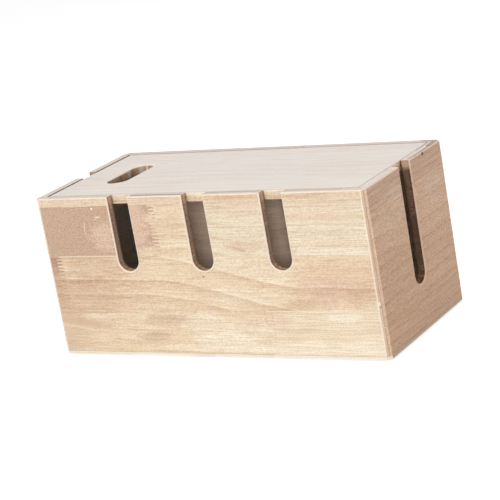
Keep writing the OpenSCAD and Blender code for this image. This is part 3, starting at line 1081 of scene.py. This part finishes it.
EDGE_ROUND, FOOT_ROUND, ROUND_STEPS = 0.35 * MM, 0.15 * MM, 2
GLUED_EDGE_SHARE, GLUED_AREA = 0.25, 900e-6
MITRE_UP, MITRE_TURN = 0.1, (0.6, 0.8)
SHARP_FROM, FLAT_WITHIN = math.radians(20), math.radians(0.4)
MERGE_WITHIN, ON_PLANE = 2e-6, 1e-6
SANDING_STEP, SANDING_WANDER, SANDING_NOISE, SANDING_SEEDS = 7 * MM, 0.45 * MM, 90, (3, 5)
CORNER_WITHIN, ABOVE_FOOT, BELOW_TOP = 1e-5, 1e-4, 2 * MM
SMOOTH_WEIGHT = 100


def show(name, mesh):
    """A new object at the origin that carries a mesh, a lamp or a camera."""
    piece = bpy.data.objects.new(name, mesh)
    bpy.context.scene.collection.objects.link(piece)
    return piece


def plain_mesh(piece):
    """Turns a piece with modifiers into the plain mesh that they make."""
    graph = bpy.context.evaluated_depsgraph_get()
    mesh = bpy.data.meshes.new_from_object(piece.evaluated_get(graph), depsgraph=graph)
    mesh.name = piece.name
    piece.modifiers.clear()
    piece.data = mesh


def mesh_of(shape, name):
    """Turns a bmesh into a mesh."""
    mesh = bpy.data.meshes.new(name)
    shape.to_mesh(mesh)
    shape.free()
    return mesh


def cut_out(piece, cutter, name, **settings):
    """Cuts one shape out of a piece."""
    cut = piece.modifiers.new(name, "BOOLEAN")
    cut.object = cutter
    cut.solver = "EXACT"
    for key, value in settings.items():
        setattr(cut, key, value)
    plain_mesh(piece)


def merged_copy(node, name):
    """A piece with a CAD node's shape, its loose triangles merged into whole faces."""
    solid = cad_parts[node].data
    shape = bmesh.new()
    corners = [shape.verts.new(v.co) for v in solid.vertices]
    for face in solid.polygons:
        shape.faces.new([corners[i] for i in face.vertices])
    bmesh.ops.remove_doubles(shape, verts=shape.verts, dist=MERGE_WITHIN)
    bmesh.ops.dissolve_limit(shape, angle_limit=FLAT_WITHIN, verts=shape.verts, edges=shape.edges)
    return show(name, mesh_of(shape, name))


def is_bevel_edge(one, other, half, other_half):
    """True where a corner bevel meets a face: one is a bevel short of its end, other at its end."""
    return (abs(abs(one) - (half - CORNER_BEVEL)) < CORNER_WITHIN
            and abs(abs(other) - other_half) < CORNER_WITHIN)


def sand_corners(piece, along_x):
    """Cuts a wall board into levels and lets the edges of its corner bevels wander a little."""
    shape = bmesh.new()
    shape.from_mesh(piece.data)
    level = WALL_FOOT + SANDING_STEP
    while level < BOX_H - SANDING_STEP / 2:
        cut = {"plane_co": (0, 0, level), "plane_no": (0, 0, 1), "dist": ON_PLANE}
        bmesh.ops.bisect_plane(shape, geom=shape.verts[:] + shape.edges[:] + shape.faces[:], **cut)
        level += SANDING_STEP
    for vertex in shape.verts:
        x, y, z = vertex.co
        on_x = is_bevel_edge(x, y, BOX_L / 2, BOX_W / 2)
        on_y = is_bevel_edge(y, x, BOX_W / 2, BOX_L / 2)
        if not (on_x if along_x else on_y) or z < WALL_FOOT + ABOVE_FOOT or z > BOX_H - BELOW_TOP:
            continue
        spot = Vector((*map(math.copysign, SANDING_SEEDS, (x, y)), z * SANDING_NOISE))
        vertex.co[0 if along_x else 1] += noise.noise(spot) * SANDING_WANDER
    shape.to_mesh(piece.data)
    shape.free()


def is_glued_edge(edge):
    """True on the edges of a mitre, which is glued to another board."""
    for face in edge.link_faces:
        turned = MITRE_TURN[0] < abs(face.normal.x) < MITRE_TURN[1]
        if abs(face.normal.z) < MITRE_UP and turned and face.calc_area() > GLUED_AREA:
            return True
    return False


def soften(piece, round_by=EDGE_ROUND):
    """Rounds the sharp edges, less where boards are glued flush."""
    shape = bmesh.new()
    shape.from_mesh(piece.data)
    weights = shape.edges.layers.float.new("bevel_weight_edge")
    for edge in shape.edges:
        if len(edge.link_faces) == 2 and edge.calc_face_angle(0) > SHARP_FROM:
            edge[weights] = GLUED_EDGE_SHARE if is_glued_edge(edge) else 1.0
    shape.to_mesh(piece.data)
    shape.free()
    bevel = piece.modifiers.new("soft_edges", "BEVEL")
    bevel.limit_method = "WEIGHT"
    bevel.width = round_by
    bevel.segments = ROUND_STEPS


# How much painted shade the lips of the lid's gap take, wall by wall, and the inner edges and the lid's
# lower edges.
FRONT_LIP_SHADE, BACK_LIP_SHADE, LEFT_LIP_SHADE, RIGHT_LIP_SHADE, INNER_EDGE_SHADE = 0.3, 0.15, 0.85, 0.25, 0.9
NEAR_CORNER, NEAR_WALL = 1.2 * CORNER_BEVEL, 1.5 * BOARD_T
UPRIGHT, DIAGONAL = 0.2, 0.2
SOFT_LEAN, FLAT_LEAN, CRISP_LEAN = 0.15, 0.995, 0.6
LIP_DEPTH, LIP_FROM, LIP_TO = 0.6 * MM, -1.8 * MM, 0.6 * MM


def side_lip_shade(x, y):
    """How much painted shade the lip of the lid's gap takes in the wall at a place."""
    if x < -BOX_L / 2 + NEAR_WALL:
        return LEFT_LIP_SHADE
    if y > BOX_W / 2 - NEAR_WALL:
        return BACK_LIP_SHADE
    return FRONT_LIP_SHADE if y < -BOX_W / 2 + NEAR_WALL else RIGHT_LIP_SHADE


def face_marks(face, through):
    """A face's values for eased, bevelled and the painted shade it takes."""
    normal = face.normal
    x, y, z = (abs(c) for c in face.center)
    lean = abs(normal["XYZ".index(through)])
    corner = x > BOX_L / 2 - NEAR_CORNER and y > BOX_W / 2 - NEAR_CORNER
    strip = corner and abs(normal.z) < UPRIGHT and abs(abs(normal.x) - abs(normal.y)) < DIAGONAL
    soft = SOFT_LEAN < lean < FLAT_LEAN and not strip
    past = max(x - BOX_L / 2, y - BOX_W / 2) + BOARD_T
    inner = past < BOARD_T / 2 and z < BOX_H - LIP_DEPTH and through != "Z"
    lip = z > BOX_H - LIP_DEPTH and LIP_FROM < past < LIP_TO
    under = through == "Z" and normal.z < 0
    crisp = (lean > CRISP_LEAN or through == "Z") and not under
    eased = soft and crisp and not lip and not inner
    dark = soft and (under or inner)
    edge_shade_value = side_lip_shade(face.center.x, face.center.y) * float(soft and lip) or INNER_EDGE_SHADE * float(dark)
    return float(eased), float(strip), edge_shade_value


def mark_faces(piece, through):
    """Marks the faces that the wood treats apart: eased edges, bevelled mitres, and the lips of the lid's
    gap and other edges that take painted shade.
    """
    names = ("eased", "bevelled", "grimy")
    layers = [piece.data.attributes.new(name, "FLOAT", "FACE").data for name in names]
    for face in piece.data.polygons:
        for layer, value in zip(layers, face_marks(face, through)):
            layer[face.index].value = value


def smooth(piece):
    """Smooth shading that keeps the large faces flat."""
    for face in piece.data.polygons:
        face.use_smooth = True
    weighted = piece.modifiers.new("flat_faces", "WEIGHTED_NORMAL")
    weighted.weight = SMOOTH_WEIGHT
    plain_mesh(piece)


NICK_ROUGH, NICK_NOISE, NICK_SEED = 0.35, 2.1, 90


def nick(piece, at, size, turn):
    """Knocks a small chip out of an edge."""
    shape = bmesh.new()
    bmesh.ops.create_icosphere(shape, subdivisions=2, radius=1.0)
    for vertex in shape.verts:
        vertex.co *= 1 + NICK_ROUGH * noise.noise(vertex.co * NICK_NOISE + Vector(at) * NICK_SEED)
    bmesh.ops.scale(shape, vec=size, verts=shape.verts)
    bmesh.ops.rotate(shape, matrix=Matrix.Rotation(turn, 3, "Z"), verts=shape.verts)
    bmesh.ops.translate(shape, vec=at, verts=shape.verts)
    mesh = mesh_of(shape, "nick")
    mesh.materials.append(TORN)
    cutter = show("nick_cutter", mesh)
    cut_out(piece, cutter, "nick", material_mode="TRANSFER")
    bpy.data.objects.remove(cutter)


def finish_board(piece, body, node, through):
    mark_faces(piece, through)
    smooth(piece)
    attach(piece, body)
    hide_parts(node)


def wall(name, node, material, through, nicks=()):
    """A wall board. Nicks are (place, size, turn), in mm and radians."""
    piece = merged_copy(node, name)
    piece.data.materials.append(material)
    sand_corners(piece, through == "Y")
    soften(piece)
    plain_mesh(piece)
    for at, size, turn in nicks:
        nick(piece, [c * MM for c in at], [c * MM for c in size], turn)
    finish_board(piece, "box", node, through)


def board(name, node, material, body, through):
    """Any other board."""
    piece = merged_copy(node, name)
    piece.data.materials.append(material)
    soften(piece)
    plain_mesh(piece)
    finish_board(piece, body, node, through)


TORN = torn_wood()


def walls():
    wall("front_board", "front_panel", front_wood(), "Y",
         [((172.6, -80.4, 50.4), (0.8, 0.6, 0.8), 0.4)])
    wall("back_board", "back_panel", back_wood(), "Y",
         [((-72, 81.6, 157.1), (2.4, 0.8, 0.9), 0.0)])
    wall("right_end_board", "right_end_panel", right_end_wood(), "X",
         [((175.0, 38.6, 155.2), (1.4, 1.9, 1.5), 0.0), ((174.9, 24.5, 156.9), (0.7, 1.5, 0.5), 0.0)])
    wall("left_end_board", "left_end_panel", left_end_wood(), "X")


def inner_parts():
    board("lid_board", "lid", lid_wood(), "lid", "Z")
    board("base_board", "base_panel", plywood(), "box", "Z")
    material = post_wood()
    for corner in CORNERS:
        board(corner + "_stiffener", corner + "_post", material, "box", "X")


def feet():
    material = rubber()
    for corner in CORNERS:
        piece = merged_copy(corner + "_foot", corner + "_pad")
        piece.data.materials.append(material)
        soften(piece, FOOT_ROUND)
        smooth(piece)
        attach(piece, "box")
        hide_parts(corner + "_foot")


# ---- screws ----

SCREW_SIDES, SCREW_SEED = 24, 7
SCREW_TIP, TIP_BLUNT, TIP_SHORT = 6 * MM, 0.02, 0.02 * MM
HEAD_RINGS = (0.0, 0.25 * MM, 0.7 * MM, SCREW_HEAD_R - SCREW_SHANK_R, 3 * MM)
THREAD_FROM, THREAD_PITCH, THREAD_ROOT, THREAD_CREST = 5 * MM, 1.35 * MM, 0.7, 5
THREAD_STEP = 0.27 * MM
RECESS_W, RECESS_L, RECESS_DEPTH, RECESS_START = 0.85 * MM, 3.1 * MM, 1.7 * MM, -0.2 * MM
RECESS_DEEP_L, RECESS_DEEP_W = 0.35, 0.6


def screw_radius(height, angle):
    """Radius of the screw at a height above its head's face, with its thread."""
    if height < SCREW_HEAD_R - SCREW_SHANK_R:
        return max(SCREW_HEAD_R - height, SCREW_SHANK_R)
    radius = SCREW_SHANK_R
    if height > THREAD_FROM:
        turn = (height / THREAD_PITCH - angle / math.tau) % 1
        crest = max(0.0, 1 - abs(turn - 0.5) * THREAD_CREST)
        radius *= THREAD_ROOT + (1 - THREAD_ROOT) * crest
    return radius * min(1.0, (SCREW_L - height) / SCREW_TIP + TIP_BLUNT)


def screw_ring(shape, height):
    """The corners of the screw at one height."""
    ring = []
    for side in range(SCREW_SIDES):
        angle = math.tau * side / SCREW_SIDES
        radius = screw_radius(height, angle)
        ring.append(shape.verts.new((radius * math.cos(angle), radius * math.sin(angle), height)))
    return ring


def screw_mesh():
    """One countersunk wood screw with its head down on z = 0."""
    threads = int((SCREW_L - THREAD_FROM) / THREAD_STEP)
    heights = [*HEAD_RINGS, *(THREAD_FROM + i * THREAD_STEP for i in range(threads)), SCREW_L - TIP_SHORT]
    shape = bmesh.new()
    rings = [screw_ring(shape, height) for height in heights]
    for lower, upper in zip(rings, rings[1:]):
        for i in range(SCREW_SIDES):
            j = (i + 1) % SCREW_SIDES
            shape.faces.new((lower[i], lower[j], upper[j], upper[i]))
    shape.faces.new(list(reversed(rings[0])))
    shape.faces.new(rings[-1])
    bmesh.ops.recalc_face_normals(shape, faces=shape.faces)
    return mesh_of(shape, "screw")


def recess_mesh():
    """Two tapered bars that cut the cross recess."""
    shape = bmesh.new()
    for turn in (0.0, math.pi / 2):
        made = bmesh.ops.create_cube(shape, size=1.0)["verts"]
        for vertex in made:
            deep = vertex.co.z > 0
            vertex.co.x *= RECESS_L * (RECESS_DEEP_L if deep else 1.0)
            vertex.co.y *= RECESS_W * (RECESS_DEEP_W if deep else 1.0)
            vertex.co.z = RECESS_DEPTH if deep else RECESS_START
        bmesh.ops.rotate(shape, matrix=Matrix.Rotation(turn, 3, "Z"), verts=made)
    return mesh_of(shape, "recess")


def screw_tree():
    """Geometry nodes: one screw at every point, each stopped at its own angle."""
    tree = bpy.data.node_groups.new("screws_at_points", "GeometryNodeTree")
    sockets = {}
    kinds = {"Points": "Geometry", "Screw": "Object", "Seed": "Int", "Finish": "Material"}
    for label, kind in kinds.items():
        sockets[label] = tree.interface.new_socket(label, in_out="INPUT", socket_type="NodeSocket" + kind)
    tree.interface.new_socket("Screws", in_out="OUTPUT", socket_type="NodeSocketGeometry")
    source = tree.nodes.new("NodeGroupInput").outputs
    sink = tree.nodes.new("NodeGroupOutput").inputs
    info = add("GeometryNodeObjectInfo", {"Object": source["Screw"]})
    limits = {"Min": ZERO, "Max": (0.0, 0.0, math.tau), "Seed": source["Seed"]}
    turn = add("FunctionNodeRandomValue", limits, data_type="FLOAT_VECTOR")
    placed = add("GeometryNodeInstanceOnPoints", {
        "Points": source["Points"], "Instance": info.outputs["Geometry"], "Rotation": turn.outputs[0],
    })
    whole = add("GeometryNodeRealizeInstances", {0: placed.outputs[0]})
    done = add("GeometryNodeSetMaterial", {"Geometry": whole.outputs[0], "Material": source["Finish"]})
    plug(sink[0], done.outputs[0])
    return tree, {label: socket.identifier for label, socket in sockets.items()}


def screws():
    screw = show("one_screw", screw_mesh())
    cutter = show("one_recess", recess_mesh())
    cut_out(screw, cutter, "recess", use_self=True)
    points = bpy.data.meshes.new("screw_points")
    x, y = BOX_L / 2 - SCREW_INSET, BOX_W / 2 - SCREW_INSET
    points.from_pydata([(i * x, j * y, BASE_Z) for i in (-1, 1) for j in (-1, 1)], [], [])
    piece = show("bottom_screws", points)
    tree, inputs = screw_tree()
    placed = piece.modifiers.new("screws", "NODES")
    placed.node_group = tree
    placed[inputs["Screw"]] = screw
    placed[inputs["Seed"]] = SCREW_SEED
    placed[inputs["Finish"]] = steel()
    plain_mesh(piece)
    for extra in (screw, cutter):
        bpy.data.objects.remove(extra)
    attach(piece, "box")
    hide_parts("base_screws")


# ---- studio ----

CAMERA_AT = (0.9062, -1.4463, 0.5463)
CAMERA_RIGHT = (0.85911, 0.48330, -0.16835)
CAMERA_UP = (0.00975, 0.31345, 0.94955)
CAMERA_AHEAD = (-0.51168, 0.81742, -0.26459)
LENS, SENSOR, FAR_CLIP = 135.05, 36.0, 100
AMBIENT = 0.37
FLOOR_HALF = 8.0
FLOOR_TONE, FLOOR_ROUGHNESS, FLOOR_LIFT = (0.86, 0.86, 0.86, 1.0), 0.9, 0.6
LAMPS = [  # name, place, height of the aim, side, watts, colour
    ("key", (0.12, -3.0, 1.0), 0.07, 0.5, 36, (1.0, 0.99, 0.97)),
    ("soft", (-0.7, -2.2, 2.0), 0.07, 1.6, 13, (1.0, 0.99, 0.97)),
    ("fill", (2.2, 0.5, 0.8), 0.07, 1.2, 9, (1.0, 0.95, 0.88)),
    ("overhead", (0, 0.3, 2.4), 0.1, 1.5, 9.5, (1.0, 0.97, 0.95)),
]


def camera():
    data = bpy.data.cameras.new("camera")
    data.lens = LENS
    data.sensor_width = SENSOR
    data.clip_end = FAR_CLIP
    made = show("camera", data)
    columns = (CAMERA_RIGHT, CAMERA_UP, [-c for c in CAMERA_AHEAD])
    made.rotation_mode = "QUATERNION"
    made.rotation_quaternion = Matrix(columns).transposed().to_quaternion()
    made.location = CAMERA_AT
    bpy.context.scene.camera = made


def lamp(name, at, aim_height, side, watts, colour):
    data = bpy.data.lights.new(name, "AREA")
    data.shape = "SQUARE"
    data.size = side
    data.energy = watts
    data.color = colour
    made = show(name, data)
    made.location = at
    made.rotation_mode = "QUATERNION"
    made.rotation_quaternion = (Vector((0, 0, aim_height)) - Vector(at)).to_track_quat("-Z", "Y")


def seen_white(tree):
    """1 for what the camera, a gloss or a glass sees directly, else 0."""
    path = add("ShaderNodeLightPath", tree=tree).outputs
    seen = calc("MAXIMUM", path["Is Camera Ray"], path["Is Glossy Ray"])
    return calc("MAXIMUM", seen, path["Is Transmission Ray"])


def surroundings():
    """A white backdrop that lights the object less than it shows."""
    world = bpy.data.worlds.new("studio")
    world.use_nodes = True
    tree = world.node_tree
    strength = remap(seen_white(tree), 0.0, 1.0, AMBIENT, 1.0)
    fill(tree.nodes["Background"], {"Color": WHITE, "Strength": strength})
    bpy.context.scene.world = world


def floor():
    """A matt pale floor; what the camera sees of it is lifted to white where no shadow lies."""
    material, tree, shader = new_material("pale_floor")
    fill(shader, {
        "Base Color": FLOOR_TONE, "Roughness": FLOOR_ROUGHNESS, "Specular IOR Level": 0.0,
        "Emission Color": WHITE, "Emission Strength": times(seen_white(tree), FLOOR_LIFT),
    })
    mesh = bpy.data.meshes.new("floor")
    corners = [(FLOOR_HALF * i, FLOOR_HALF * j, 0) for i, j in ((-1, -1), (1, -1), (1, 1), (-1, 1))]
    mesh.from_pydata(corners, [], [(0, 1, 2, 3)])
    mesh.materials.append(material)
    show("floor", mesh)


def studio():
    camera()
    surroundings()
    floor()
    for settings in LAMPS:
        lamp(*settings)
    bpy.context.scene.view_settings.view_transform = "Standard"


walls()
inner_parts()
feet()
screws()
studio()
